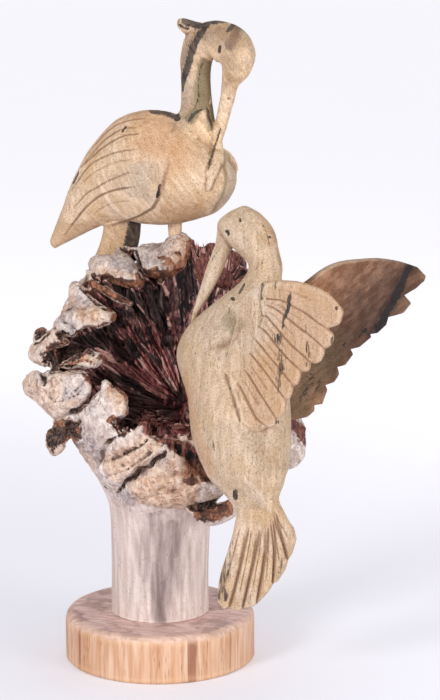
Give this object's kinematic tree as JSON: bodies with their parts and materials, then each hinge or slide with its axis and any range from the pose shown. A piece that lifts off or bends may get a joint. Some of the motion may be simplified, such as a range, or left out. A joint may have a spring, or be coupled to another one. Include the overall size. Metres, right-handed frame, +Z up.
{
  "type": "carved wooden bird group",
  "caption": "Folk carving of long-billed wading birds on a cup-shaped burl, with a stem on a turned round wooden base.",
  "frame": {"origin": "centre of the round base's underside", "axes": "+Z up, +X to the right of the side that the picture shows, +Y away from it"},
  "size_m": [0.2457, 0.1948, 0.4001],
  "materials": {
    "base_wood": "orange-tan turned wood with red-brown grain lines and a satin finish",
    "carved_wood": "pale tan carved wood with olive and dark grain streaks, grey-beige bark and a dark red-brown fibrous hollow"
  },
  "bodies": {
    "root": {"base": "base_wood", "carving": "carved_wood"}
  },
  "joints": []
}
